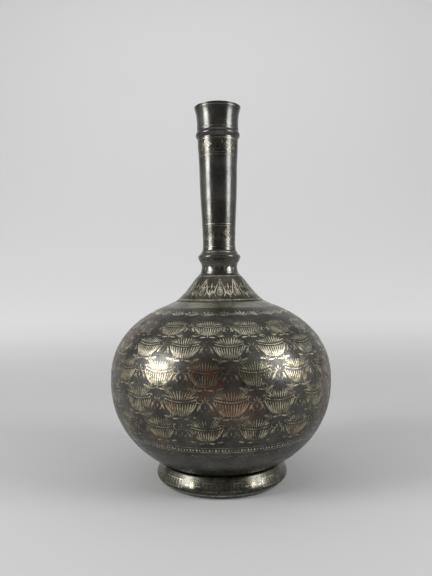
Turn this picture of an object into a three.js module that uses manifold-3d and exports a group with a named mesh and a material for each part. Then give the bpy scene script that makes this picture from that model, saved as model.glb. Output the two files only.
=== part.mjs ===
// A bidri vase: turned castings joined by spigots and laps, with silver inlay in grooves and pockets.
// Millimetres, +Z up, the vase's axis on Z and its foot on z = 0. The front looks along -Y.
import * as THREE from 'three';
import { mergeVertices } from 'three/addons/utils/BufferGeometryUtils.js';
import Module from 'manifold-3d';

const wasm = await Module();
wasm.setup();

// Fits
const CLEARANCE = 0.3;
const INLAY = 0.7;
const POCKET = INLAY + CLEARANCE;
const WIRE = 1.2;

// Globe: two superelliptic halves that meet at its widest line
const GLOBE_RADIUS = 85.1;
const GLOBE_BASE_Z = 5.3;
const LOWER_DEPTH = 73.7;
const LOWER_POWER = 2.18;
const UPPER_RISE = 63.7;
const UPPER_POWER = 2.3;
const BOWL_WALL = 3;
const FLOOR_RISE = 3.7;
const SEAM_RISE = 15;
const SEAT_DROP = 7.7;
const LAP_HEIGHT = 3;
const LAP_DEPTH = 2.4;
const WAIST_Z = GLOBE_BASE_Z + LOWER_DEPTH;
const FLOOR_Z = GLOBE_BASE_Z + FLOOR_RISE;
const SEAM_Z = WAIST_Z + SEAM_RISE;
const SEAT_Z = WAIST_Z + UPPER_RISE - SEAT_DROP;

// Foot
const FOOT_WIDEST = 50.8;
const FOOT_WIDEST_Z = 5.5;
const FOOT_TUCK = 5;
const FOOT_TOP = 47.4;
const FOOT_TOP_Z = 14;
const FOOT_BORE = 40.5;
const FOOT_SEAT_Z = FLOOR_Z + 2.5;
const FOOT_SEAT_LIP = 1.4;
const PANELS = 7;
const PANEL_ANGLE = 33 * Math.PI / 180;
const HATCH_BARS = 3;
const HATCH_WIDTH = 0.9;

// Collar, knop, neck and mouth: each piece's height, stacked on the one below
const BAND_WIDTH = 8.1;
const BAND_HEIGHT = 3.5;
const COLLAR_HEIGHT = 21.5;
const COLLAR_LEDGE = 4.7;
const COLLAR_TOP = 15.2;
const KNOP_HEIGHT = 18;
const KNOP_WAIST = 13.9;
const KNOP_SHOULDER = 14.7;
const KNOP_CREST = 16.7;
const KNOP_TOP = 13.3;
const NECK_HEIGHT = 87.2;
const NECK_FOOT = 13.1;
const NECK_SLIM = 12.7;
const NECK_WIDE = 15.9;
const RING_HEIGHT = 5.6;
const RING_CREST = 17.4;
const RING_TOP = 16.4;
const FLARE_HEIGHT = 19.2;
const FLARE_SLIM = 16.3;
const LIP_RADIUS = 18.2;
const BAND_TOP_Z = SEAT_Z + BAND_HEIGHT;
const COLLAR_TOP_Z = BAND_TOP_Z + COLLAR_HEIGHT;
const KNOP_TOP_Z = COLLAR_TOP_Z + KNOP_HEIGHT;
const NECK_TOP_Z = KNOP_TOP_Z + NECK_HEIGHT;
const RING_TOP_Z = NECK_TOP_Z + RING_HEIGHT;
const LIP_Z = RING_TOP_Z + FLARE_HEIGHT;
const BORE = 10.2;
const BORE_TOP = 12.8;
const LIP_WALL = 2.4;
const SPIGOT_WALL = 1.2;
const SPIGOT_LENGTH = 4;
const LEAVES = 12;
const LEAF_WIDTH = 9.4;
const LEAF_HEIGHT = 13;
const LEAF_RISE = 4.1;
const LEAF_FOOT_Z = BAND_TOP_Z + LEAF_RISE;

// Wires, each from the edge it follows
const RIM_WIRE_RISE = 3.4;
const FRAME_RISE = 6.4;
const FRAME_DROP = 2;
const BORDER_DROP = 37.2;
const BEAD_RISE = 1.7;
const COLLAR_WIRE_DROP = 2;
const KNOP_WIRE_DROP = 1.4;
const LOW_BAND_RISE = 2.6;
const LOW_BAND_HEIGHT = 17.4;
const HIGH_BAND_DROP = 1.8;
const HIGH_BAND_HEIGHT = 12.6;
const MOUTH_WIRE_RISE = 1.6;
const LIP_WIRE_DROP = 1.8;

const BODY_SIDES = 36;
const NECK_SIDES = 20;

const point = (r, z) => new THREE.Vector2(r, z);

// Radius of the globe at a height, with the wall taken off for its inside
function globeRadius(z, inset = 0) {
  const below = z < WAIST_Z;
  const reach = (below ? LOWER_DEPTH : UPPER_RISE) - inset;
  const power = below ? LOWER_POWER : UPPER_POWER;
  const share = Math.min(1, Math.abs(z - WAIST_Z) / reach);
  return (GLOBE_RADIUS - inset) * Math.sqrt(1 - share ** power);
}

const BAND_INNER = globeRadius(SEAT_Z) - BAND_WIDTH;
const COLLAR_BASE = BAND_INNER - CLEARANCE;
const DOME_HOLE = COLLAR_BASE - COLLAR_LEDGE;

// A smooth outline between two heights, through radii at shares of the rise
const curveThrough = (bottom, top, pairs) => new THREE.SplineCurve(
  pairs.map(([r, share]) => point(r, bottom + (top - bottom) * share)),
);
const between = (from, to, share) => from + (to - from) * share;

const footCurve = curveThrough(0, FOOT_TOP_Z, [
  [FOOT_WIDEST - FOOT_TUCK, 0],
  [FOOT_WIDEST, FOOT_WIDEST_Z / FOOT_TOP_Z],
  [FOOT_TOP, 1],
]);
const collarCurve = curveThrough(BAND_TOP_Z, COLLAR_TOP_Z, [
  [COLLAR_BASE, 0],
  [between(COLLAR_BASE, COLLAR_TOP, 0.236), 0.186],
  [between(COLLAR_BASE, COLLAR_TOP, 0.497), 0.442],
  [between(COLLAR_BASE, COLLAR_TOP, 0.805), 0.814],
  [COLLAR_TOP, 1],
]);
const knopCurve = curveThrough(COLLAR_TOP_Z + CLEARANCE, KNOP_TOP_Z, [
  [COLLAR_TOP, 0],
  [KNOP_WAIST, 0.237],
  [KNOP_SHOULDER, 0.463],
  [KNOP_CREST, 0.718],
  [KNOP_SHOULDER, 0.864],
  [KNOP_TOP, 1],
]);
const neckCurve = curveThrough(KNOP_TOP_Z + CLEARANCE, NECK_TOP_Z, [
  [NECK_FOOT, 0],
  [NECK_SLIM, 0.089],
  [between(NECK_SLIM, NECK_WIDE, 0.27), 0.307],
  [between(NECK_SLIM, NECK_WIDE, 0.56), 0.537],
  [between(NECK_SLIM, NECK_WIDE, 0.72), 0.768],
  [NECK_WIDE, 1],
]);
const ringCurve = curveThrough(NECK_TOP_Z + CLEARANCE, RING_TOP_Z, [
  [NECK_WIDE, 0],
  [RING_CREST, 0.47],
  [RING_TOP, 1],
]);
const flareCurve = curveThrough(RING_TOP_Z + CLEARANCE, LIP_Z, [
  [FLARE_SLIM, 0],
  [FLARE_SLIM, 0.365],
  [between(FLARE_SLIM, LIP_RADIUS, 0.26), 0.68],
  [LIP_RADIUS, 1],
]);

// Height runs up each curve, so a radius is found by halving the curve's span
function radiusOn(curve, z) {
  let low = 0;
  let high = 1;
  for (let step = 0; step < 40; step += 1) {
    const middle = (low + high) / 2;
    if (curve.getPoint(middle).y < z) low = middle;
    else high = middle;
  }
  return curve.getPoint(low).x;
}

// Outline from bottom to top, with a turned groove at each wire
function outline(radiusAt, bottom, top, steps, wires = []) {
  const half = WIRE / 2 + CLEARANCE;
  const inGroove = (z) => wires.some((wire) => Math.abs(z - wire) <= half + 0.05);
  const points = [];
  for (let step = 0; step <= steps; step += 1) {
    const z = bottom + (top - bottom) * step / steps;
    if (!inGroove(z)) points.push(point(radiusAt(z), z));
  }
  for (const wire of wires) {
    const floor = radiusAt(wire) - POCKET;
    points.push(point(radiusAt(wire - half), wire - half), point(floor, wire - half + 0.01));
    points.push(point(floor, wire + half - 0.01), point(radiusAt(wire + half), wire + half));
  }
  return points.sort((a, b) => a.y - b.y);
}

// Closed geometry to a solid and back
function toSolid(geometry) {
  const bare = geometry.clone();
  bare.deleteAttribute('normal');
  bare.deleteAttribute('uv');
  const merged = mergeVertices(bare, 1e-4);
  const spots = merged.attributes.position.array;
  const faces = [];
  const index = merged.index.array;
  let volume = 0;
  for (let i = 0; i < index.length; i += 3) {
    const [a, b, c] = [index[i], index[i + 1], index[i + 2]];
    if (a === b || b === c || c === a) continue;
    faces.push(a, b, c);
    const corners = [a, b, c].map((k) => new THREE.Vector3().fromArray(spots, 3 * k));
    volume += corners[0].dot(corners[1].cross(corners[2]));
  }
  if (volume < 0) faces.reverse();
  return new wasm.Manifold(new wasm.Mesh({
    numProp: 3,
    vertProperties: new Float32Array(spots),
    triVerts: new Uint32Array(faces),
  }));
}

function toGeometry(solid) {
  const mesh = solid.getMesh();
  const geometry = new THREE.BufferGeometry();
  geometry.setAttribute('position', new THREE.BufferAttribute(mesh.vertProperties, 3));
  geometry.setIndex(new THREE.BufferAttribute(mesh.triVerts, 1));
  geometry.computeVertexNormals();
  return geometry;
}

// A profile turned about Z; the profile closes on itself
function turned(profile, sides) {
  const geometry = new THREE.LatheGeometry([...profile, profile[0].clone()], sides);
  geometry.rotateX(Math.PI / 2);
  return toSolid(geometry);
}

// A wire let into its groove, flush with the outline
function wireRing(radiusAt, z, sides) {
  const inner = radiusAt(z) - INLAY;
  const [low, high] = [z - WIRE / 2, z + WIRE / 2];
  return turned([
    point(inner, low),
    point(radiusAt(low), low),
    point(radiusAt(high), high),
    point(inner, high),
  ], sides);
}

// The skin of an outline: what lies between two depths under its surface
function skin(radiusAt, bottom, top, deep, proud, steps, sides) {
  const levels = Array.from({ length: steps + 1 }, (_, i) => bottom + (top - bottom) * i / steps);
  const outside = levels.map((z) => point(radiusAt(z) + proud, z));
  const inside = levels.map((z) => point(radiusAt(z) - deep, z)).reverse();
  return turned([...outside, ...inside], sides);
}

// A tubular casting with a spigot below and a socket above for the next piece
function sleeve({ outside, bottom, top, boreLow, boreHigh, spigot, socket, sides }) {
  const profile = [];
  if (spigot) {
    profile.push(point(boreLow, bottom - SPIGOT_LENGTH));
    profile.push(point(spigot - CLEARANCE, bottom - SPIGOT_LENGTH), point(spigot - CLEARANCE, bottom));
  } else {
    profile.push(point(boreLow, bottom));
  }
  profile.push(...outside);
  if (socket) {
    profile.push(point(socket, top), point(socket, top - SPIGOT_LENGTH));
    profile.push(point(boreHigh, top - SPIGOT_LENGTH));
  } else {
    profile.push(point(boreHigh, top));
  }
  return turned(profile, sides);
}

const footRadius = (z) => radiusOn(footCurve, z);
const collarRadius = (z) => radiusOn(collarCurve, z);
const knopRadius = (z) => radiusOn(knopCurve, z);
const neckRadius = (z) => radiusOn(neckCurve, z);
const ringRadius = (z) => radiusOn(ringCurve, z);
const flareRadius = (z) => radiusOn(flareCurve, z);

// Heights of the wires
const FOOT_RIM_WIRE_Z = RIM_WIRE_RISE;
const FRAME_LOW_Z = FRAME_RISE;
const FRAME_HIGH_Z = FOOT_TOP_Z - FRAME_DROP;
const BORDER_Z = WAIST_Z - BORDER_DROP;
const BEAD_WIRE_Z = BAND_TOP_Z + BEAD_RISE;
const COLLAR_WIRE_Z = COLLAR_TOP_Z - COLLAR_WIRE_DROP;
const KNOP_WIRE_Z = KNOP_TOP_Z - KNOP_WIRE_DROP;
const LOW_BAND = [KNOP_TOP_Z + LOW_BAND_RISE, KNOP_TOP_Z + LOW_BAND_RISE + LOW_BAND_HEIGHT];
const HIGH_BAND = [NECK_TOP_Z - HIGH_BAND_DROP - HIGH_BAND_HEIGHT, NECK_TOP_Z - HIGH_BAND_DROP];
const MOUTH_WIRE_Z = RING_TOP_Z + MOUTH_WIRE_RISE;
const LIP_WIRE_Z = LIP_Z - LIP_WIRE_DROP;

// Foot: convex standing ring; its inside seats the globe
const bowlSeat = (z) => globeRadius(z) + 2 * CLEARANCE;
const footTopSeatZ = FOOT_TOP_Z + FOOT_SEAT_LIP;
const footSolid = turned([
  point(FOOT_BORE, 0),
  ...outline(footRadius, 0, FOOT_TOP_Z, 6, [FOOT_RIM_WIRE_Z]),
  point(bowlSeat(footTopSeatZ) + 0.8, footTopSeatZ),
  point(bowlSeat(footTopSeatZ), footTopSeatZ),
  point(bowlSeat((footTopSeatZ + FOOT_SEAT_Z) / 2), (footTopSeatZ + FOOT_SEAT_Z) / 2),
  point(bowlSeat(FOOT_SEAT_Z), FOOT_SEAT_Z),
  point(bowlSeat(FOOT_SEAT_Z), FLOOR_Z - 1),
], BODY_SIDES);

// Foot band: two frame wires joined by the frames' sides and the hatch bars between them
function footBand(grow, deep, proud) {
  const low = FRAME_LOW_Z - WIRE / 2 - grow;
  const high = FRAME_HIGH_Z + WIRE / 2 + grow;
  const rings = [FRAME_LOW_Z, FRAME_HIGH_Z].map((z) => (
    skin(footRadius, z - WIRE / 2 - grow, z + WIRE / 2 + grow, deep, proud, 1, BODY_SIDES)
  ));
  const bars = [];
  for (let panel = 0; panel < PANELS; panel += 1) {
    for (let bar = 0; bar < HATCH_BARS; bar += 1) {
      const across = (bar / (HATCH_BARS - 1) - 0.5) * PANEL_ANGLE;
      const box = new THREE.BoxGeometry(HATCH_WIDTH + 2 * grow, FOOT_WIDEST, high - low - 0.2);
      box.translate(0, -FOOT_WIDEST, (low + high) / 2);
      box.rotateZ(across + panel * 2 * Math.PI / PANELS);
      bars.push(toSolid(box));
    }
  }
  const bent = skin(footRadius, low, high, deep, proud, 2, BODY_SIDES);
  return wasm.Manifold.union(rings).add(bent.intersect(wasm.Manifold.union(bars)));
}

// Leaf crown: pointed leaves that rise from a wire round the collar
function leafCrown(grow, deep, proud) {
  const low = LEAF_FOOT_Z - WIRE / 2 - grow;
  const half = LEAF_WIDTH / 2 + grow;
  const tip = LEAF_HEIGHT + 2 * grow;
  const leaf = new THREE.Shape();
  leaf.moveTo(-half * 0.35, 0);
  leaf.quadraticCurveTo(-half * 1.5, tip * 0.35, 0, tip);
  leaf.quadraticCurveTo(half * 1.5, tip * 0.35, half * 0.35, 0);
  const leaves = [];
  for (let turn = 0; turn < LEAVES; turn += 1) {
    const blade = new THREE.ExtrudeGeometry(leaf, {
      depth: COLLAR_BASE * 2,
      bevelEnabled: false,
      curveSegments: 3,
    });
    blade.rotateX(Math.PI / 2);
    blade.translate(0, -1, low + 0.1);
    blade.rotateZ(turn * 2 * Math.PI / LEAVES);
    leaves.push(toSolid(blade));
  }
  const bent = skin(collarRadius, low, LEAF_FOOT_Z + LEAF_HEIGHT + 1, deep, proud, 3, BODY_SIDES);
  const ring = skin(collarRadius, low, low + WIRE + 2 * grow, deep, proud, 1, BODY_SIDES);
  return ring.add(bent.intersect(wasm.Manifold.union(leaves)));
}

// Globe halves, with a lap at the seam
const lapRadius = GLOBE_RADIUS - LAP_DEPTH - (GLOBE_RADIUS - globeRadius(SEAM_Z));
const innerGlobe = (z) => globeRadius(z, BOWL_WALL);
const floorTop = FLOOR_Z + BOWL_WALL;
const lowerBowl = turned([
  point(0, floorTop),
  point(0, FLOOR_Z),
  ...outline(globeRadius, FLOOR_Z, SEAM_Z, 10, [BORDER_Z]),
  point(lapRadius - CLEARANCE, SEAM_Z),
  point(lapRadius - CLEARANCE, SEAM_Z + LAP_HEIGHT),
  ...outline(innerGlobe, floorTop, SEAM_Z + LAP_HEIGHT, 6).reverse(),
], BODY_SIDES);
const upperBowl = turned([
  point(lapRadius, SEAM_Z + CLEARANCE),
  ...outline(globeRadius, SEAM_Z + CLEARANCE, SEAT_Z, 7),
  point(DOME_HOLE, SEAT_Z),
  point(DOME_HOLE, SEAT_Z - BOWL_WALL),
  ...outline(innerGlobe, SEAM_Z + LAP_HEIGHT + CLEARANCE, SEAT_Z - BOWL_WALL, 5).reverse(),
  point(lapRadius, SEAM_Z + LAP_HEIGHT + CLEARANCE),
], BODY_SIDES);

const bandSeat = SEAT_Z + CLEARANCE;
const shoulderBand = turned([
  point(BAND_INNER, bandSeat),
  point(globeRadius(bandSeat) - CLEARANCE, bandSeat),
  point(globeRadius(SEAT_Z + BAND_HEIGHT / 3), SEAT_Z + BAND_HEIGHT / 3),
  point(BAND_INNER + 1, BAND_TOP_Z - CLEARANCE),
  point(BAND_INNER, BAND_TOP_Z),
], BODY_SIDES);

const socketRadius = (z, curve) => radiusOn(curve, z) - SPIGOT_WALL;
const collarSocket = BORE + SPIGOT_WALL + CLEARANCE;
const collar = sleeve({
  outside: [
    point(COLLAR_BASE, bandSeat),
    ...outline(collarRadius, BAND_TOP_Z, COLLAR_TOP_Z, 5, [BEAD_WIRE_Z, COLLAR_WIRE_Z]),
  ],
  bottom: bandSeat,
  top: COLLAR_TOP_Z,
  boreLow: DOME_HOLE - BOWL_WALL - CLEARANCE,
  boreHigh: BORE,
  spigot: DOME_HOLE,
  socket: collarSocket,
  sides: BODY_SIDES,
}).subtract(leafCrown(CLEARANCE, POCKET, 1));

const knop = sleeve({
  outside: outline(knopRadius, COLLAR_TOP_Z + CLEARANCE, KNOP_TOP_Z, 8, [KNOP_WIRE_Z]),
  bottom: COLLAR_TOP_Z + CLEARANCE,
  top: KNOP_TOP_Z,
  boreLow: BORE,
  boreHigh: BORE,
  spigot: collarSocket,
  socket: socketRadius(KNOP_TOP_Z, knopCurve),
  sides: NECK_SIDES,
});
const neck = sleeve({
  outside: outline(neckRadius, KNOP_TOP_Z + CLEARANCE, NECK_TOP_Z, 6, [...LOW_BAND, ...HIGH_BAND]),
  bottom: KNOP_TOP_Z + CLEARANCE,
  top: NECK_TOP_Z,
  boreLow: BORE,
  boreHigh: BORE_TOP,
  spigot: socketRadius(KNOP_TOP_Z, knopCurve),
  socket: socketRadius(NECK_TOP_Z, neckCurve),
  sides: NECK_SIDES,
});
const mouthRing = sleeve({
  outside: outline(ringRadius, NECK_TOP_Z + CLEARANCE, RING_TOP_Z, 5),
  bottom: NECK_TOP_Z + CLEARANCE,
  top: RING_TOP_Z,
  boreLow: BORE_TOP,
  boreHigh: BORE_TOP,
  spigot: socketRadius(NECK_TOP_Z, neckCurve),
  socket: socketRadius(RING_TOP_Z, ringCurve),
  sides: NECK_SIDES,
});
const flare = sleeve({
  outside: outline(flareRadius, RING_TOP_Z + CLEARANCE, LIP_Z, 5, [MOUTH_WIRE_Z, LIP_WIRE_Z]),
  bottom: RING_TOP_Z + CLEARANCE,
  top: LIP_Z,
  boreLow: BORE_TOP,
  boreHigh: radiusOn(flareCurve, LIP_Z) - LIP_WALL,
  spigot: socketRadius(RING_TOP_Z, ringCurve),
  sides: NECK_SIDES,
});

const vase = new THREE.Group();
vase.name = 'bidri_vase';

function place(name, solid, color, roughness, metalness) {
  const material = new THREE.MeshStandardMaterial({ color, roughness, metalness });
  const mesh = new THREE.Mesh(toGeometry(solid), material);
  mesh.name = name;
  vase.add(mesh);
}

const ground = (name, solid) => place(name, solid, '#3a3834', 0.45, 0.8);
const silver = (name, solid) => place(name, solid, '#b4ab98', 0.36, 0.9);

ground('foot_ring', footSolid.subtract(footBand(CLEARANCE, POCKET, 1)));
ground('lower_bowl', lowerBowl);
ground('upper_bowl', upperBowl);
ground('shoulder_collar', collar);
ground('neck_knop', knop);
ground('neck_tube', neck);
ground('mouth_ring', mouthRing);
ground('mouth_flare', flare);

silver('foot_rim_wire', wireRing(footRadius, FOOT_RIM_WIRE_Z, BODY_SIDES));
silver('foot_band', footBand(0, INLAY, 0));
silver('lower_border', wireRing(globeRadius, BORDER_Z, BODY_SIDES));
silver('shoulder_band', shoulderBand);
silver('collar_bead_wire', wireRing(collarRadius, BEAD_WIRE_Z, BODY_SIDES));
silver('collar_leaves', leafCrown(0, INLAY, 0));
silver('collar_top_wire', wireRing(collarRadius, COLLAR_WIRE_Z, BODY_SIDES));
silver('knop_wire', wireRing(knopRadius, KNOP_WIRE_Z, NECK_SIDES));
silver('neck_low_wire', wireRing(neckRadius, LOW_BAND[0], NECK_SIDES));
silver('neck_low_top_wire', wireRing(neckRadius, LOW_BAND[1], NECK_SIDES));
silver('neck_high_wire', wireRing(neckRadius, HIGH_BAND[0], NECK_SIDES));
silver('neck_high_top_wire', wireRing(neckRadius, HIGH_BAND[1], NECK_SIDES));
silver('mouth_wire', wireRing(flareRadius, MOUTH_WIRE_Z, NECK_SIDES));
silver('lip_wire', wireRing(flareRadius, LIP_WIRE_Z, NECK_SIDES));

export default vase;
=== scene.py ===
"""A bidri vase: blackened cast metal with silver inlay, standing on a pale sweep."""
import math

import bpy
from mathutils import Matrix, Vector


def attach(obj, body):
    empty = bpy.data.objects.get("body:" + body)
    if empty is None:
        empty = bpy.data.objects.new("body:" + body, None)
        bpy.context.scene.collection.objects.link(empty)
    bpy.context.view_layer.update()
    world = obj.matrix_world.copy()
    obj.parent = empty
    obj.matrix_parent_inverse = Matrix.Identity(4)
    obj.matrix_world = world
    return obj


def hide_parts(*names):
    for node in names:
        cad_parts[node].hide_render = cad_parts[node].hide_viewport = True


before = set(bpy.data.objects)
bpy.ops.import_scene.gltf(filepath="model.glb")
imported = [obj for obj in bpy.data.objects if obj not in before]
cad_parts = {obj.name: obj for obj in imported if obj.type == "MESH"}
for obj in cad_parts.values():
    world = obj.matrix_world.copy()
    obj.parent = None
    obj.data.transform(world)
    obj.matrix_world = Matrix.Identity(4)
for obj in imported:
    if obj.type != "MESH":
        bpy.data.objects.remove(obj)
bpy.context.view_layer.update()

MM = 0.001
FINE_SIDES = 160
WIRE_SIDES = 128
LOWER_STEPS = 60
LOWER_INNER_STEPS = 30
UPPER_STEPS = 40
UPPER_INNER_STEPS = 20
CREASE_DEGREES = 35

# The turned sizes of the frame, in millimetres
GLOBE_RADIUS = 85.1
WAIST_Z = 79.0
LOWER_DEPTH = 73.7
LOWER_POWER = 2.18
UPPER_RISE = 63.7
UPPER_POWER = 2.3
BOWL_WALL = 3.0
FLOOR_Z = 9.0
SEAM_Z = 94.0
SEAM_GAP = 0.05
SEAT_Z = 135.0
SEAT_BORE = 30.0
BAND_BORE = 34.8
COLLAR_Z = 138.5
COLLAR_SPIGOT_Z = 131.3
COLLAR_TOP_Z = 160.0
KNOP_SPIGOT = 11.4
KNOP_SPIGOT_Z = 156.5
KNOP_TOP_Z = 178.0
NECK_TOP_Z = 265.2
RING_TOP_Z = 270.8
LIP_Z = 290.0
LIP_BORE = 15.8
FOOT_TOP_Z = 14.0
FOOT_STANDING_BORE = 40.5
FOOT_SEAT_BORE = 36.8
BORE = 10.2
BORE_TOP = 12.8

# Silver: how far it stands proud of the ground and is sunk in it, and its wires' widths
PROUD = 0.05
SUNK = 0.3
WIRE_WIDTH = 0.7
FINE_WIRE = 0.3
BORDER_WIRE = 0.4

# Photograph: 432 by 576 pixels, camera in front of the vase and a little above its middle
FOCAL_PX = 537.0
LONG_SIDE_PX = 576.0
SENSOR = 36.0
CLIP_START = 0.01
CAMERA_MM = (-2.9, -423.7, 152.2)
LOOK_DOWN = 0.48
ROLL = -0.74

# Paper colour painted darker on the floor and lighter up the backdrop, a painted light falloff:
# tones from the floor to the top of the backdrop, and the sweep's sizes in metres
FLOOR_PAINTED_TONE = 0.48
BACKDROP_PAINTED_TONE = 0.70
BACKDROP_AT = 0.09
TOP_PAINTED_TONE = 0.93
SWEEP_FRONT = -1.6
SWEEP_START = 0.22
SWEEP_RADIUS = 0.9
SWEEP_TOP = 3.0
SWEEP_HALF_WIDTH = 3.0

# Two softboxes, in metres, degrees and watts
SOFTBOX_SIZE = (0.42, 0.58)
SOFTBOX_DISTANCE = 1.1
SOFTBOX_AZIMUTH = 66
SOFTBOX_ELEVATION = 20
SOFTBOX_TARGET = (0, 0, 0.11)
LEFT_POWER = 11
RIGHT_POWER = 9

# The patina is worn brown round one point in front: its place and reach in metres
BROWN_SPOT = (-0.008, -0.0835, 0.090)
BROWN_EDGE = 0.022
BROWN_CORE = 0.004
BROWN_STRENGTH = 1.6

# Depth of the pits and scratches in a finish, in metres
RELIEF_DEPTH = 0.0004


def globe_radius(z, inset=0.0):
    """Radius of the globe at a height, with the wall taken off for its inside."""
    below = z < WAIST_Z
    reach = (LOWER_DEPTH if below else UPPER_RISE) - inset
    power = LOWER_POWER if below else UPPER_POWER
    share = min(1.0, abs(z - WAIST_Z) / reach)
    return (GLOBE_RADIUS - inset) * math.sqrt(1 - share ** power)


def globe_line(low, high, steps, inset=0.0):
    """Outline of the globe from one height to another."""
    heights = [low + (high - low) * i / steps for i in range(steps + 1)]
    return [(globe_radius(z, inset), z) for z in heights]


def curve_through(pairs, steps=8):
    """Smooth outline through a few pairs of radius and height."""
    knots = [pairs[0], *pairs, pairs[-1]]
    line = []
    for a, b, c, d in zip(knots, knots[1:], knots[2:], knots[3:]):
        for i in range(steps):
            t = i / steps
            line.append(tuple(
                0.5 * (2 * q + (r - p) * t + (2 * p - 5 * q + 4 * r - s) * t * t
                       + (3 * q - p - 3 * r + s) * t ** 3)
                for p, q, r, s in zip(a, b, c, d)))
    return [*line, pairs[-1]]


class Surface:
    """A turned surface that ornament is laid on: along its outline, and round it."""

    def __init__(self, line):
        self.line = line
        self.run = [0.0]
        for (r0, z0), (r1, z1) in zip(line, line[1:]):
            self.run.append(self.run[-1] + math.hypot(r1 - r0, z1 - z0))

    def run_at(self, z):
        """Distance along the outline at a height."""
        for i, ((_, z0), (_, z1)) in enumerate(zip(self.line, self.line[1:])):
            if z <= z1 or i == len(self.line) - 2:
                share = (z - z0) / (z1 - z0)
                return self.run[i] + share * (self.run[i + 1] - self.run[i])

    def place(self, run):
        """Radius, height and outward normal at a distance along the outline."""
        i = 0
        while i < len(self.run) - 2 and run > self.run[i + 1]:
            i += 1
        span = self.run[i + 1] - self.run[i]
        share = (run - self.run[i]) / span
        (r0, z0), (r1, z1) = self.line[i], self.line[i + 1]
        return r0 + share * (r1 - r0), z0 + share * (z1 - z0), (z1 - z0) / span, (r0 - r1) / span

    def point(self, z, across, up, out):
        """A point given across and up from the middle of a motif at height z, facing -Y."""
        home = self.run_at(z)
        home_radius = self.place(home)[0]
        radius, height, normal_r, normal_z = self.place(home + up)
        angle = across / home_radius
        radius += out * normal_r
        return Vector((radius * math.sin(angle), -radius * math.cos(angle),
                       height + out * normal_z)) * MM


foot_line = curve_through([(45.8, 0), (50.8, 5.5), (47.4, FOOT_TOP_Z), (46.0, 15.4)])
collar_line = curve_through([(34.7, COLLAR_Z), (30.1, 142.5), (25, 148), (19, 156),
                             (15.2, COLLAR_TOP_Z)])
knop_line = curve_through([(15, COLLAR_TOP_Z), (13.9, 164.5), (14.7, 168.5), (16.7, 173),
                           (14.7, 175.6), (13.3, KNOP_TOP_Z)])
neck_line = curve_through([(13.1, KNOP_TOP_Z), (12.7, 186), (13.55, 205), (14.5, 225),
                           (15, 245), (15.9, NECK_TOP_Z)])
ring_line = curve_through([(15.9, NECK_TOP_Z), (17.4, 268), (16.4, RING_TOP_Z)])
flare_line = curve_through([(16.3, RING_TOP_Z), (16.3, 278), (16.8, 284), (18.2, LIP_Z)])

globe = Surface(globe_line(14, 136, 120))
foot = Surface(foot_line)
collar = Surface(collar_line)
knop = Surface(knop_line)
neck = Surface(neck_line)
flare = Surface(flare_line)


# Materials

def socket_of(group, name, kind, default=None, out=False):
    """A named input or output of a shader group."""
    made = group.interface.new_socket(name=name, in_out="OUTPUT" if out else "INPUT",
                                      socket_type=kind)
    if default is not None:
        made.default_value = default
    return made


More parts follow.
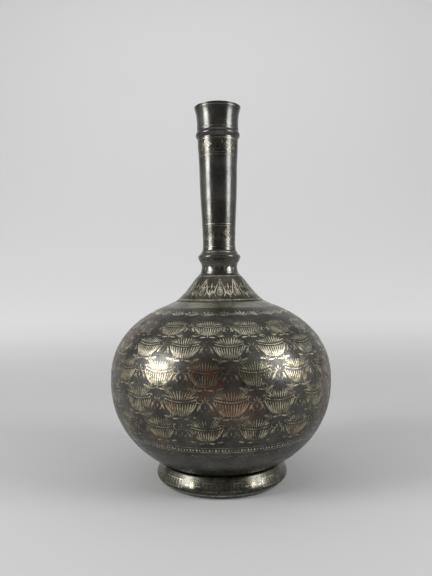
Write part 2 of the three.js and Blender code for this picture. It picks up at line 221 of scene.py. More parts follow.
def worn_metal_group():
    """Tarnish, handling wear and pitting: gives a colour, a roughness and a height.

    Patches of Tarnish lie over Clean, Warm shows in broad areas and round the brown spot,
    and fine speckle over soft cloud sets the roughness and the relief.
    """
    group = bpy.data.node_groups.new("worn_metal", "ShaderNodeTree")
    socket_of(group, "Clean", "NodeSocketColor", (0.5, 0.5, 0.5, 1))
    socket_of(group, "Tarnish", "NodeSocketColor", (0.1, 0.1, 0.1, 1))
    socket_of(group, "Warm", "NodeSocketColor", (0.2, 0.1, 0.05, 1))
    socket_of(group, "Patch Scale", "NodeSocketFloat", 40.0)
    socket_of(group, "Tarnish Low", "NodeSocketFloat", 0.4)
    socket_of(group, "Tarnish High", "NodeSocketFloat", 0.6)
    socket_of(group, "Warm Amount", "NodeSocketFloat", 0.5)
    socket_of(group, "Smooth", "NodeSocketFloat", 0.25)
    socket_of(group, "Rough", "NodeSocketFloat", 0.5)
    socket_of(group, "Color", "NodeSocketColor", out=True)
    socket_of(group, "Roughness", "NodeSocketFloat", out=True)
    socket_of(group, "Height", "NodeSocketFloat", out=True)
    nodes, links = group.nodes, group.links
    inputs = nodes.new("NodeGroupInput")
    outputs = nodes.new("NodeGroupOutput")
    place = nodes.new("ShaderNodeTexCoord")

    def noise(scale, detail, rough=0.6):
        made = nodes.new("ShaderNodeTexNoise")
        made.inputs["Scale"].default_value = scale
        made.inputs["Detail"].default_value = detail
        made.inputs["Roughness"].default_value = rough
        links.new(place.outputs["Object"], made.inputs["Vector"])
        return made

    def remap(source, low, high, to_low=0.0, to_high=1.0):
        made = nodes.new("ShaderNodeMapRange")
        links.new(source, made.inputs["Value"])
        for name, value in (("From Min", low), ("From Max", high),
                            ("To Min", to_low), ("To Max", to_high)):
            if hasattr(value, "is_linked"):
                links.new(value, made.inputs[name])
            else:
                made.inputs[name].default_value = value
        return made.outputs["Result"]

    def mix(factor, first, second):
        made = nodes.new("ShaderNodeMix")
        made.data_type = "RGBA"
        links.new(factor, made.inputs["Factor"])
        links.new(first, made.inputs["A"])
        links.new(second, made.inputs["B"])
        return made.outputs["Result"]

    patches = noise(40.0, 8, 0.68)
    links.new(inputs.outputs["Patch Scale"], patches.inputs["Scale"])
    tarnished = remap(patches.outputs["Fac"], inputs.outputs["Tarnish Low"],
                      inputs.outputs["Tarnish High"])
    broad = remap(noise(22.0, 3).outputs["Fac"], 0.54, 0.72)
    away = nodes.new("ShaderNodeVectorMath")
    away.operation = "DISTANCE"
    away.inputs[1].default_value = BROWN_SPOT
    links.new(place.outputs["Object"], away.inputs[0])
    near = remap(away.outputs["Value"], BROWN_EDGE, BROWN_CORE, 0.0, BROWN_STRENGTH)
    mottled = nodes.new("ShaderNodeMath")
    mottled.operation = "MULTIPLY"
    links.new(near, mottled.inputs[0])
    links.new(remap(noise(120.0, 4).outputs["Fac"], 0.42, 0.62), mottled.inputs[1])
    either = nodes.new("ShaderNodeMath")
    either.operation = "MAXIMUM"
    links.new(broad, either.inputs[0])
    links.new(mottled.outputs["Value"], either.inputs[1])
    warmed = nodes.new("ShaderNodeMath")
    warmed.operation = "MULTIPLY"
    links.new(either.outputs["Value"], warmed.inputs[0])
    links.new(inputs.outputs["Warm Amount"], warmed.inputs[1])
    base = mix(tarnished, inputs.outputs["Clean"], inputs.outputs["Tarnish"])
    links.new(mix(warmed.outputs["Value"], base, inputs.outputs["Warm"]), outputs.inputs["Color"])
    speckle = noise(900.0, 4)
    cloud = noise(70.0, 6)
    blend = nodes.new("ShaderNodeMath")
    blend.operation = "MULTIPLY_ADD"
    blend.inputs[1].default_value = 0.35
    links.new(speckle.outputs["Fac"], blend.inputs[0])
    links.new(cloud.outputs["Fac"], blend.inputs[2])
    links.new(remap(blend.outputs["Value"], 0.45, 0.95, inputs.outputs["Smooth"],
                    inputs.outputs["Rough"]), outputs.inputs["Roughness"])
    links.new(blend.outputs["Value"], outputs.inputs["Height"])
    return group


worn_metal = worn_metal_group()


def metal(name, clean, tarnish, warm, patch_scale, patches, warm_amount, roughness, bump,
          bare=1.0, ior=1.5):
    """A worn metal finish made from the shared group.

    patches and roughness are (low, high); bare is how much metal the patina lets show.
    """
    material = bpy.data.materials.new(name)
    material.use_nodes = True
    nodes, links = material.node_tree.nodes, material.node_tree.links
    shader = nodes["Principled BSDF"]
    shader.inputs["Metallic"].default_value = bare
    shader.inputs["IOR"].default_value = ior
    wear = nodes.new("ShaderNodeGroup")
    wear.node_tree = worn_metal
    for key, value in (("Clean", (*clean, 1)), ("Tarnish", (*tarnish, 1)), ("Warm", (*warm, 1)),
                       ("Patch Scale", patch_scale), ("Tarnish Low", patches[0]),
                       ("Tarnish High", patches[1]), ("Warm Amount", warm_amount),
                       ("Smooth", roughness[0]), ("Rough", roughness[1])):
        wear.inputs[key].default_value = value
    links.new(wear.outputs["Color"], shader.inputs["Base Color"])
    links.new(wear.outputs["Roughness"], shader.inputs["Roughness"])
    relief = nodes.new("ShaderNodeBump")
    relief.inputs["Strength"].default_value = bump
    relief.inputs["Distance"].default_value = RELIEF_DEPTH
    links.new(wear.outputs["Height"], relief.inputs["Height"])
    links.new(relief.outputs["Normal"], shader.inputs["Normal"])
    return material


blackened = metal(
    "blackened_ground", clean=(0.056, 0.054, 0.042), tarnish=(0.016, 0.0155, 0.012),
    warm=(0.110, 0.040, 0.021), patch_scale=80, patches=(0.38, 0.60), warm_amount=0.5,
    roughness=(0.20, 0.42), bump=0.6, bare=0.6, ior=1.75)
polished = metal(
    "polished_mouth", clean=(0.054, 0.053, 0.046), tarnish=(0.015, 0.0145, 0.0125),
    warm=(0.060, 0.050, 0.035), patch_scale=60, patches=(0.38, 0.60), warm_amount=0.3,
    roughness=(0.12, 0.30), bump=0.5, bare=0.6, ior=1.95)
olive = metal(
    "olive_ground", clean=(0.064, 0.062, 0.043), tarnish=(0.018, 0.0175, 0.0125),
    warm=(0.060, 0.050, 0.032), patch_scale=120, patches=(0.38, 0.60), warm_amount=0.3,
    roughness=(0.15, 0.36), bump=0.6, bare=0.6, ior=1.7)
tarnished = metal(
    "tarnished_silver", clean=(0.48, 0.42, 0.29), tarnish=(0.075, 0.067, 0.050),
    warm=(0.36, 0.18, 0.11), patch_scale=190, patches=(0.40, 0.60), warm_amount=0.6,
    roughness=(0.22, 0.42), bump=0.5)
faint = metal(
    "worn_thin_silver", clean=(0.34, 0.315, 0.24), tarnish=(0.055, 0.052, 0.040),
    warm=(0.20, 0.13, 0.09), patch_scale=220, patches=(0.40, 0.60), warm_amount=0.4,
    roughness=(0.24, 0.44), bump=0.5)
dull = metal(
    "blackened_silver", clean=(0.24, 0.222, 0.165), tarnish=(0.045, 0.043, 0.033),
    warm=(0.15, 0.105, 0.07), patch_scale=200, patches=(0.38, 0.60), warm_amount=0.4,
    roughness=(0.22, 0.42), bump=0.5)
# A lighter copy of the tarnished silver: partly less tarnished silver, partly a painted sheen
# that stands in for the bright room reflected on the shoulder rows, shoulder leaves and collar
cleaner_silver_and_sheen = metal(
    "cleaner_silver_and_painted_sheen", clean=(0.66, 0.61, 0.47), tarnish=(0.15, 0.14, 0.105),
    warm=(0.40, 0.27, 0.17), patch_scale=200, patches=(0.42, 0.64), warm_amount=0.4,
    roughness=(0.20, 0.40), bump=0.5)
pale_band = metal(
    "pale_band", clean=(0.40, 0.38, 0.29), tarnish=(0.17, 0.163, 0.128),
    warm=(0.20, 0.17, 0.12), patch_scale=60, patches=(0.42, 0.62), warm_amount=0.3,
    roughness=(0.26, 0.46), bump=0.4)


# Pieces

def finish_piece(obj, stands_for, material, smooth=True):
    """Gives a finished mesh its material and body, and hides the CAD nodes it stands for."""
    obj.data.materials.clear()
    obj.data.materials.append(material)
    if smooth:
        obj.data.shade_smooth()
    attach(obj, "root")
    if stands_for:
        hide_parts(*stands_for)


def new_object(name, points, faces):
    """An object of the given mesh, in the scene."""
    mesh = bpy.data.meshes.new(name)
    mesh.from_pydata(points, [], faces)
    mesh.validate()
    obj = bpy.data.objects.new(name, mesh)
    bpy.context.scene.collection.objects.link(obj)
    return obj


def turned(name, profile, material, stands_for, sides=FINE_SIDES):
    """A closed profile of radius and height turned about Z."""
    points, rings = [], []
    for radius, z in profile:
        if radius < 1e-6:
            rings.append([len(points)] * sides)
            points.append(Vector((0, 0, z)) * MM)
            continue
        rings.append(list(range(len(points), len(points) + sides)))
        for i in range(sides):
            angle = 2 * math.pi * i / sides
            points.append(Vector((radius * math.sin(angle), -radius * math.cos(angle), z)) * MM)
    area = sum(a[0] * b[1] - b[0] * a[1] for a, b in zip(profile, profile[1:] + profile[:1]))
    faces = []
    for lower, upper in zip(rings, rings[1:] + rings[:1]):
        for i in range(sides):
            j = (i + 1) % sides
            corners = [lower[i], lower[j], upper[j], upper[i]]
            face = [c for k, c in enumerate(corners) if c != corners[k - 1]]
            if len(set(face)) > 2:
                faces.append(face if area > 0 else face[::-1])
    obj = new_object(name, points, faces)
    finish_piece(obj, stands_for, material)
    obj.data.set_sharp_from_angle(angle=math.radians(CREASE_DEGREES))


def wire(name, surface, z, width, material, stands_for):
    """A wire let in flush round a turned surface, with a low rounded back."""
    middle = surface.run_at(z)
    section = []
    for across, out in ((-0.5, -SUNK), (-0.5, 0.0), (-0.25, PROUD), (0.25, PROUD), (0.5, 0.0),
                        (0.5, -SUNK)):
        radius, height, normal_r, normal_z = surface.place(middle + across * width)
        section.append((radius + out * normal_r, height + out * normal_z))
    turned(name, section, material, stands_for, WIRE_SIDES)


class Motif:
    """Strips of silver laid on a surface round one height, facing -Y."""

    def __init__(self, surface, z):
        self.surface = surface
        self.z = z
        self.points = []
        self.faces = []

    def strip(self, path, widths):
        """A flat strip along a path of points across and up, with a width at each."""
        start = len(self.points)
        for i, (across, up) in enumerate(path):
            before, after = path[max(0, i - 1)], path[min(len(path) - 1, i + 1)]
            run = (after[0] - before[0], after[1] - before[1])
            length = math.hypot(*run) or 1.0
            side = (-run[1] / length * widths[i] / 2, run[0] / length * widths[i] / 2)
            for sign, out in ((1, -SUNK), (1, PROUD), (-1, PROUD), (-1, -SUNK)):
                self.points.append(self.surface.point(
                    self.z, across + sign * side[0], up + sign * side[1], out))
        for i in range(len(path) - 1):
            a, b = start + 4 * i, start + 4 * (i + 1)
            for k in range(3):
                self.faces.append((a + k, b + k, b + k + 1, a + k + 1))
        last = start + 4 * (len(path) - 1)
        self.faces.append((start + 3, start + 2, start + 1, start))
        self.faces.append((last, last + 1, last + 2, last + 3))

    def petal(self, across, up, turn, length, width, widest=0.65):
        """A petal from its root, turned from upright by an angle in degrees."""
        along = (math.sin(math.radians(turn)), math.cos(math.radians(turn)))
        stations = (0.0, 0.3, widest, 0.88, 1.0)
        widths = (0.3, 0.7, 1.0, 0.7, 0.15)
        self.strip([(across + along[0] * length * s, up + along[1] * length * s)
                    for s in stations], [width * w for w in widths])

    def dot(self, across, up, size):
        """A small round stud of silver."""
        stations = (-0.5, -0.35, 0.0, 0.35, 0.5)
        widths = (0.35, 0.8, 1.0, 0.8, 0.35)
        self.strip([(across, up + size * s) for s in stations], [size * w for w in widths])

    def arc(self, middle, radius, start, end, width, steps=8):
        """A curved stem, its angles in degrees from straight up."""
        turns = [math.radians(start + (end - start) * i / steps) for i in range(steps + 1)]
        self.strip([(middle[0] + radius * math.sin(t), middle[1] + radius * math.cos(t))
                    for t in turns], [width] * (steps + 1))


def round_tree():
    """Repeats a motif round the vase's axis."""
    tree = bpy.data.node_groups.new("repeat_round", "GeometryNodeTree")
    tree.interface.new_socket(name="Motif", in_out="INPUT", socket_type="NodeSocketGeometry")
    count = tree.interface.new_socket(name="Count", in_out="INPUT", socket_type="NodeSocketInt")
    phase = tree.interface.new_socket(name="Phase", in_out="INPUT", socket_type="NodeSocketFloat")
    finish = tree.interface.new_socket(name="Finish", in_out="INPUT",
                                       socket_type="NodeSocketMaterial")
    tree.interface.new_socket(name="Ring", in_out="OUTPUT", socket_type="NodeSocketGeometry")
    nodes, links = tree.nodes, tree.links
    inputs = nodes.new("NodeGroupInput")
    outputs = nodes.new("NodeGroupOutput")
    stations = nodes.new("GeometryNodeMeshLine")
    stations.inputs["Offset"].default_value = (0, 0, 0)
    links.new(inputs.outputs["Count"], stations.inputs["Count"])
    pitch = nodes.new("ShaderNodeMath")
    pitch.operation = "DIVIDE"
    pitch.inputs[0].default_value = 2 * math.pi
    links.new(inputs.outputs["Count"], pitch.inputs[1])
    number = nodes.new("GeometryNodeInputIndex")
    angle = nodes.new("ShaderNodeMath")
    angle.operation = "MULTIPLY_ADD"
    links.new(number.outputs["Index"], angle.inputs[0])
    links.new(pitch.outputs["Value"], angle.inputs[1])
    links.new(inputs.outputs["Phase"], angle.inputs[2])
    turn = nodes.new("ShaderNodeCombineXYZ")
    links.new(angle.outputs["Value"], turn.inputs["Z"])
    copies = nodes.new("GeometryNodeInstanceOnPoints")
    links.new(stations.outputs["Mesh"], copies.inputs["Points"])
    links.new(inputs.outputs["Motif"], copies.inputs["Instance"])
    links.new(turn.outputs["Vector"], copies.inputs["Rotation"])
    real = nodes.new("GeometryNodeRealizeInstances")
    links.new(copies.outputs["Instances"], real.inputs["Geometry"])
    dress = nodes.new("GeometryNodeSetMaterial")
    links.new(real.outputs["Geometry"], dress.inputs["Geometry"])
    links.new(inputs.outputs["Finish"], dress.inputs["Material"])
    links.new(dress.outputs["Geometry"], outputs.inputs["Ring"])
    return tree, (count.identifier, phase.identifier, finish.identifier)


repeat_round, (COUNT_ID, PHASE_ID, FINISH_ID) = round_tree()


def ring_of(name, motif, count, phase_degrees, material=tarnished, stands_for=()):
    """A motif repeated round the vase, as one plain mesh."""
    source = new_object(name + "_motif", motif.points, motif.faces)
    # The motif's object is used up, and the plain mesh is what stays
    modifier = source.modifiers.new("repeat", "NODES")
    modifier.node_group = repeat_round
    modifier[COUNT_ID] = count
    modifier[PHASE_ID] = math.radians(phase_degrees)
    modifier[FINISH_ID] = material
    bpy.context.view_layer.update()
    shown = source.evaluated_get(bpy.context.evaluated_depsgraph_get())
    mesh = bpy.data.meshes.new_from_object(shown)
    bpy.data.objects.remove(source)
    mesh.name = name
    obj = bpy.data.objects.new(name, mesh)
    bpy.context.scene.collection.objects.link(obj)
    finish_piece(obj, stands_for, material, smooth=False)


# Castings
turned("foot_ring_turned",
       [(FOOT_STANDING_BORE, 0), *foot_line, (FOOT_SEAT_BORE, 11.5), (FOOT_SEAT_BORE, 8)],
       olive, ["foot_ring"])
turned("lower_bowl_turned",
       [(0, FLOOR_Z), *globe_line(FLOOR_Z, SEAM_Z, LOWER_STEPS),
        *globe_line(FLOOR_Z + BOWL_WALL, SEAM_Z, LOWER_INNER_STEPS, BOWL_WALL)[::-1],
        (0, FLOOR_Z + BOWL_WALL)],
       blackened, ["lower_bowl"])
turned("upper_bowl_turned",
       [*globe_line(SEAM_Z + SEAM_GAP, SEAT_Z, UPPER_STEPS), (SEAT_BORE, SEAT_Z),
        (SEAT_BORE, SEAT_Z - BOWL_WALL),
        *globe_line(SEAM_Z + SEAM_GAP, SEAT_Z - BOWL_WALL, UPPER_INNER_STEPS,
                    BOWL_WALL)[::-1]],
       blackened, ["upper_bowl"])
turned("shoulder_band_turned",
       [(BAND_BORE, SEAT_Z), (globe_radius(SEAT_Z), SEAT_Z), (globe_radius(136.2), 136.2),
        (36.2, 138.1), (BAND_BORE, COLLAR_Z)],
       pale_band, ["shoulder_band"])
turned("shoulder_collar_turned",
       [(26.7, COLLAR_SPIGOT_Z), (29.7, COLLAR_SPIGOT_Z), (29.7, 135.2), (34.7, 135.2),
        *collar_line, (11.7, COLLAR_TOP_Z), (11.7, 156), (BORE, 156)],
       olive, ["shoulder_collar"])
turned("neck_knop_turned",
       [(BORE, KNOP_SPIGOT_Z), (KNOP_SPIGOT, KNOP_SPIGOT_Z), (KNOP_SPIGOT, COLLAR_TOP_Z),
        *knop_line, (BORE, KNOP_TOP_Z)],
       polished, ["neck_knop"])
turned("neck_tube_turned", [(BORE, KNOP_TOP_Z), *neck_line, (BORE_TOP, NECK_TOP_Z)],
       polished, ["neck_tube"])
turned("mouth_ring_turned", [(BORE_TOP, NECK_TOP_Z), *ring_line, (BORE_TOP, RING_TOP_Z)],
       polished, ["mouth_ring"])
turned("mouth_flare_turned", [(BORE_TOP, RING_TOP_Z), *flare_line, (LIP_BORE, LIP_Z)],
       polished, ["mouth_flare"])

# Wires
for name, surface, z, material in (
        ("foot_rim_wire", foot, 3.4, cleaner_silver_and_sheen),
        ("lower_border", globe, 41.8, faint),
        ("collar_bead_wire", collar, 140.2, cleaner_silver_and_sheen),
        ("collar_top_wire", collar, 158.0, cleaner_silver_and_sheen),
        ("knop_wire", knop, 176.6, tarnished),
        ("neck_low_wire", neck, 180.6, dull),
        ("neck_low_top_wire", neck, 198.0, dull),
        ("neck_high_wire", neck, 250.8, dull),
        ("neck_high_top_wire", neck, 263.4, dull),
        ("mouth_wire", flare, 272.4, dull),
        ("lip_wire", flare, 288.2, dull)):
    wire(name + "_drawn", surface, z, WIRE_WIDTH, material, [name])


# Flowers on the globe
FLOWERS = 16
FLOWER_PITCH = 360 / FLOWERS
PHASE_A = 4.0
PHASE_B = PHASE_A + FLOWER_PITCH / 2
CUP_SIDE = 6
RAY_SIDE = 5


def flower(z, size):
    """A lotus: a round cup of long thin petals, a rim of short bars, and pointed rays above.

    CUP_SIDE petals and RAY_SIDE rays stand on each side of the middle one; all lengths
    grow with size.
    """
    motif = Motif(globe, z)

    def grown(path):
        return [(size * x, size * y) for x, y in path]

    for i in range(-CUP_SIDE, CUP_SIDE + 1):
        root = (1.02 * i, -7.6 + 0.050 * i * i)
        bend = (1.50 * i, -4.4 + 0.065 * i * i)
        tip = (1.78 * i, -0.3 + 0.045 * i * i)
        motif.strip(grown((root, bend, tip)), [0.45 * size, 0.80 * size, 0.50 * size])
    for i in range(-CUP_SIDE, CUP_SIDE):
        start = (1.65 * i + 0.2, 0.9 + 0.05 * i * i)
        end = (1.65 * i + 1.45, 0.9 + 0.05 * (i + 1) ** 2)
        motif.strip(grown((start, end)), [0.6 * size] * 2)
    for i in range(-RAY_SIDE, RAY_SIDE + 1):
        root = (1.25 * i, 2.2 + 0.04 * i * i)
        tip = (2.05 * i, 7.6 - 0.11 * i * i)
        middle = ((root[0] + tip[0]) / 2, (root[1] + tip[1]) / 2)
        motif.strip(grown((root, middle, tip)), [0.35 * size, 0.80 * size, 0.25 * size])
    for side in (-1, 1):
        for across, up, turn, length, width in ((10.6, -4.0, 26, 4.2, 1.2),
                                                (7.2, -8.6, 78, 3.8, 1.1),
                                                (1.2, -9.0, 96, 4.0, 1.1)):
            motif.petal(side * across * size, up * size, side * turn, length * size,
                        width * size)
    motif.dot(0, -8.6 * size, 1.0 * size)
    return motif


def spray(z, size):
    """Stems and small leaves that fill the ground between the flowers."""
    motif = Motif(globe, z)
    for side in (-1, 1):
        motif.arc((0, -3 * size), 4.2 * size, side * 15, side * 150, 0.5)
        motif.arc((side * 4.6 * size, 3.2 * size), 3.0 * size, side * 200, side * 20, 0.5)
        motif.petal(side * 1.0 * size, 1.0 * size, side * 38, 3.2 * size, 1.1 * size)
        motif.petal(side * 3.9 * size, -4.0 * size, side * 110, 2.8 * size, 1.0 * size)
        motif.petal(side * 4.9 * size, 4.6 * size, side * 60, 2.5 * size, 0.9 * size)
        motif.dot(side * 2.6 * size, -6.2 * size, 0.9 * size)
    motif.petal(0, 1.8 * size, 0, 4.0 * size, 1.2 * size)
    motif.petal(0, -1.6 * size, 180, 3.0 * size, 1.1 * size)
    return motif


def vine(z, side, size):
    """A curling stem with leaves, on the slope between one flower and the next."""
    motif = Motif(globe, z)
    motif.arc((0, 0), 2.6 * size, side * 30, side * 330, 0.45, 10)
    motif.arc((side * 3.4 * size, 2.4 * size), 2.2 * size, side * 180, side * 400, 0.42, 8)
    motif.arc((-side * 3.2 * size, -2.8 * size), 2.0 * size, 0, side * 260, 0.42, 8)
    for turn in (-70, -15, 40, 95, 150, 205):
        motif.petal(0, 0, side * turn, 2.1 * size, 0.65 * size)
    for turn in (30, 100, 170):
        motif.petal(side * 3.4 * size, 2.4 * size, side * turn, 1.8 * size, 0.6 * size)
        motif.petal(-side * 3.2 * size, -2.8 * size, -side * turn, 1.8 * size, 0.6 * size)
    return motif


# Each row's height, phase, size and silver; the upper rows are brighter, with a painted sheen for
# the room's light on the shoulder
for number, (z, phase, size, silver, slot) in enumerate((
        (57.5, PHASE_B, 1.0, tarnished, "lower_border"),
        (75.5, PHASE_A, 1.08, tarnished, "lower_border"),
        (94.0, PHASE_B, 1.06, tarnished, "lower_border"),
        (110.5, PHASE_A, 1.0, cleaner_silver_and_sheen, "shoulder_band"),
        (122.4, PHASE_B, 0.90, cleaner_silver_and_sheen, "shoulder_band")), 1):
    ring_of(f"flower_row_{number}", flower(z, size), FLOWERS, phase, silver)
    ring_of(f"spray_row_{number}", spray(z + 0.5, 0.72 * size), FLOWERS,
            phase + FLOWER_PITCH / 2, faint)
    for place, side in (("left", -1), ("right", 1)):
        ring_of(f"vine_{place}_{number}", vine(z + 8.5, side, 0.8 * size), FLOWERS,
                phase + side * FLOWER_PITCH / 4, faint)

# Small leaves where the globe turns in under its band
shoulder_leaves = Motif(globe, 131.5)
for turn in (-62, -31, 0, 31, 62):
    shoulder_leaves.petal(0, -3.6, turn, 6.4, 1.5)
shoulder_leaves.arc((0, 1.6), 4.6, 110, 250, 0.6)
ring_of("shoulder_leaves", shoulder_leaves, 28, 3.0, cleaner_silver_and_sheen)

# Border of bars and beads under the flowers
border = Motif(globe, 43.4)
border.strip([(0, -0.9), (0, 0.9)], [0.8, 0.8])
border.dot(1.9, 0.0, 1.0)
ring_of("border_bars", border, 112, 0.0, cleaner_silver_and_sheen)
wire("border_upper_wire", globe, 45.2, BORDER_WIRE, faint, ())
zigzag = Motif(globe, 38.4)
zigzag.strip([(-2.4, -1.1), (0, 1.1), (2.4, -1.1)], [0.3, 0.3, 0.3])
ring_of("border_zigzag", zigzag, 92, 0.0, faint)

# Collar: large pointed leaves in a framing arch, with small ones between their tips
LEAVES = 12
leaf = Motif(collar, 142.6)
leaf.petal(0, 0.6, 0, 14.8, 1.5, 0.4)
for side in (-1, 1):
    for rise in (1.2, 3.4, 5.6, 7.8):
        leaf.petal(side * 0.7, rise, side * 34, 3.6 - 0.2 * rise, 0.9)
    leaf.strip([(side * 3.4, 0.2), (side * 4.3, 3.4), (side * 4.2, 6.6), (side * 3.2, 9.8),
                (side * 1.5, 13.4), (0, 17.0)], [0.5, 0.8, 0.9, 0.9, 0.8, 0.4])
    leaf.dot(side * 5.2, 9.6, 1.1)
ring_of("collar_leaf_crown", leaf, LEAVES, 0.0, cleaner_silver_and_sheen, ["collar_leaves"])
small_leaves = Motif(collar, 143.0)
for turn in (-34, -12, 12, 34):
    small_leaves.petal(0, 0, turn, 6.4, 1.2)
small_leaves.petal(0, 7.4, 0, 5.0, 1.6)
small_leaves.dot(0, -0.9, 1.0)
ring_of("collar_small_leaves", small_leaves, LEAVES, 180 / LEAVES, cleaner_silver_and_sheen)
beads = Motif(collar, 140.2)
beads.dot(0, 0, 1.5)
ring_of("collar_beads", beads, 84, 0.0)


def scroll(surface, z, height, pitch):
    """One turn of a running scroll with its leaves."""
    motif = Motif(surface, z)
    steps = 10
    motif.strip([(pitch * (i / steps - 0.5), 0.28 * height * math.sin(2 * math.pi * i / steps))
                 for i in range(steps + 1)], [0.45] * (steps + 1))
    for side in (-1, 1):
        home = side * pitch / 4
        motif.arc((home, side * 0.02 * height), 0.2 * height, side * 90, side * 90 - 270, 0.4)
        for turn in (-50, 0, 50):
            motif.petal(home, side * 0.02 * height, turn + (0 if side > 0 else 180),
                        0.3 * height, 0.9)
        motif.dot(home, 0, 1.0)
    motif.petal(0, 0.1 * height, 0, 0.36 * height, 1.1)
    motif.petal(pitch / 2, -0.1 * height, 180, 0.36 * height, 1.1)
    return motif


# Neck: a scroll between fine wires near its foot and near its top, and the foot's top wire
for name, z, radius, height, turns, phase, slot in (
        ("neck_low_scroll", 189.3, 12.8, 14.5, 6, 8.0, "neck_low_wire"),
        ("neck_high_scroll", 257.1, 15.4, 10.5, 7, 12.0, "neck_high_wire")):
    ring_of(name, scroll(neck, z, height, 2 * math.pi * radius / turns), turns, phase, dull)
for name, surface, z, slot in (("neck_low_inner_wire", neck, 182.2, "neck_low_wire"),
                               ("neck_low_outer_wire", neck, 196.4, "neck_low_top_wire"),
                               ("neck_high_inner_wire", neck, 252.3, "neck_high_wire"),
                               ("foot_top_wire", foot, 13.2, "foot_band")):
    wire(name, surface, z, FINE_WIRE, dull, ())

# Knop: chevrons under the ring, and small leaves at the waist
chevrons = Motif(knop, 170.0)
chevrons.strip([(-0.9, -1.3), (0, 1.3), (0.9, -1.3)], [0.35, 0.35, 0.35])
ring_of("knop_chevrons", chevrons, 44, 0.0, faint)
waist_leaf = Motif(knop, 163.5)
waist_leaf.petal(0, -1.6, 0, 3.6, 1.1)
ring_of("waist_leaves", waist_leaf, 22, 0.0)

# Foot: wire-framed panels with hatch bars, and small flowers between them
PANELS = 7
PANEL_Z = 9.2
HALF_PANEL = 14.0
HALF_RAIL = 2.8
HALF_BAR = 2.6
panel = Motif(foot, PANEL_Z)
for up in (-HALF_RAIL, HALF_RAIL):
    panel.strip([(HALF_PANEL * (i / 6 - 1), up) for i in range(13)], [0.7] * 13)
for bar in range(11):
    across = HALF_PANEL * (bar / 5 - 1)
    panel.strip([(across, -HALF_BAR), (across, 0), (across, HALF_BAR)], [0.8, 0.5, 0.8])
ring_of("foot_panels", panel, PANELS, 0.0, dull, ["foot_band"])
rosette = Motif(foot, PANEL_Z)
for petal in range(8):
    rosette.petal(0, 0, 45 * petal, 2.6, 1.0)
for side in (-1, 1):
    rosette.petal(side * 3.2, 0, side * 90, 3.2, 1.2)
ring_of("foot_rosettes", rosette, PANELS, 180 / PANELS, dull)

# Stage: a floor that sweeps up into the backdrop
bend_turns = [math.radians(a) for a in range(6, 91, 6)]
sweep_line = [(SWEEP_FRONT, 0.0), (SWEEP_START, 0.0)]
sweep_line += [(SWEEP_START + SWEEP_RADIUS * math.sin(a),
                SWEEP_RADIUS - SWEEP_RADIUS * math.cos(a)) for a in bend_turns]
sweep_line.append((SWEEP_START + SWEEP_RADIUS, SWEEP_TOP))
stage_points = [(x, y, z) for y, z in sweep_line for x in (-SWEEP_HALF_WIDTH, SWEEP_HALF_WIDTH)]
stage_faces = [(2 * i, 2 * i + 1, 2 * i + 3, 2 * i + 2) for i in range(len(sweep_line) - 1)]
sweep = new_object("studio_sweep", stage_points, stage_faces)
sweep.data.shade_smooth()
paper = bpy.data.materials.new("grey_paper")
paper.use_nodes = True
paper_nodes, paper_links = paper.node_tree.nodes, paper.node_tree.links
paper_shader = paper_nodes["Principled BSDF"]
paper_place = paper_nodes.new("ShaderNodeTexCoord")
paper_split = paper_nodes.new("ShaderNodeSeparateXYZ")
paper_links.new(paper_place.outputs["Object"], paper_split.inputs["Vector"])
# Painted light: the paper's colour runs from a painted shade on the floor to painted light at the
# top of the backdrop
rise = paper_nodes.new("ShaderNodeValToRGB")
rise.color_ramp.interpolation = "EASE"
rise.color_ramp.elements[0].color = (FLOOR_PAINTED_TONE, FLOOR_PAINTED_TONE, FLOOR_PAINTED_TONE, 1)
rise.color_ramp.elements[1].color = (TOP_PAINTED_TONE, TOP_PAINTED_TONE, TOP_PAINTED_TONE, 1)
painted_middle_tone = rise.color_ramp.elements.new(BACKDROP_AT)
painted_middle_tone.color = (BACKDROP_PAINTED_TONE, BACKDROP_PAINTED_TONE, BACKDROP_PAINTED_TONE, 1)
paper_links.new(paper_split.outputs["Z"], rise.inputs["Fac"])
paper_links.new(rise.outputs["Color"], paper_shader.inputs["Base Color"])
paper_shader.inputs["Roughness"].default_value = 0.95
paper_shader.inputs["Specular IOR Level"].default_value = 0.1
sweep.data.materials.append(paper)

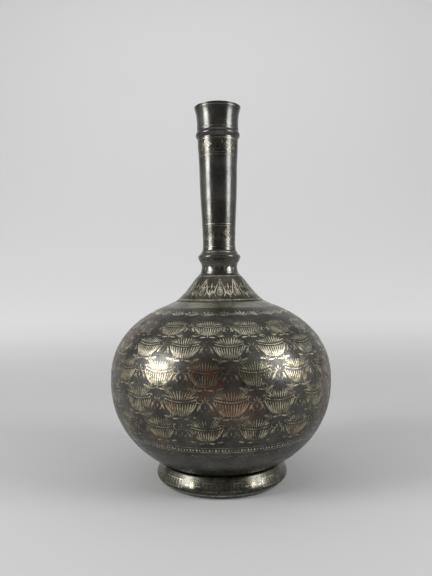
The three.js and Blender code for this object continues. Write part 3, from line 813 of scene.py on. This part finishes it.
# Light: a pale room that is darker on the camera's side, and a softbox at each side
world = bpy.data.worlds.new("room")
world.use_nodes = True
room, room_links = world.node_tree.nodes, world.node_tree.links
direction = room.new("ShaderNodeTexCoord")
split = room.new("ShaderNodeSeparateXYZ")
room_links.new(direction.outputs["Generated"], split.inputs["Vector"])
toward = room.new("ShaderNodeMapRange")
toward.interpolation_type = "SMOOTHSTEP"
for key, value in (("From Min", -0.95), ("From Max", -0.10), ("To Min", 0.10), ("To Max", 0.82)):
    toward.inputs[key].default_value = value
room_links.new(split.outputs["Y"], toward.inputs["Value"])
room_links.new(toward.outputs["Result"], room["Background"].inputs["Strength"])
room["Background"].inputs["Color"].default_value = (1.0, 1.0, 1.0, 1)
bpy.context.scene.world = world


def softbox(name, azimuth, power):
    """An area lamp that looks at the globe; azimuth is from the front, to the right."""
    lamp = bpy.data.lights.new(name, "AREA")
    lamp.shape = "RECTANGLE"
    lamp.size, lamp.size_y = SOFTBOX_SIZE
    lamp.energy = power
    obj = bpy.data.objects.new(name, lamp)
    bpy.context.scene.collection.objects.link(obj)
    a, e = math.radians(azimuth), math.radians(SOFTBOX_ELEVATION)
    way = Vector((math.sin(a) * math.cos(e), -math.cos(a) * math.cos(e), math.sin(e)))
    obj.location = Vector(SOFTBOX_TARGET) + way * SOFTBOX_DISTANCE
    obj.rotation_euler = way.to_track_quat("Z", "Y").to_euler()


softbox("left_softbox", -SOFTBOX_AZIMUTH, LEFT_POWER)
softbox("right_softbox", SOFTBOX_AZIMUTH, RIGHT_POWER)

# Camera
camera_data = bpy.data.cameras.new("camera")
camera_data.sensor_width = SENSOR
camera_data.lens = FOCAL_PX / LONG_SIDE_PX * SENSOR
camera_data.clip_start = CLIP_START
camera = bpy.data.objects.new("camera", camera_data)
bpy.context.scene.collection.objects.link(camera)
camera.matrix_world = (Matrix.Translation(Vector(CAMERA_MM) * MM)
                       @ Matrix.Rotation(math.radians(90 - LOOK_DOWN), 4, "X")
                       @ Matrix.Rotation(math.radians(ROLL), 4, "Z"))
bpy.context.scene.camera = camera
bpy.context.scene.view_settings.view_transform = "Standard"
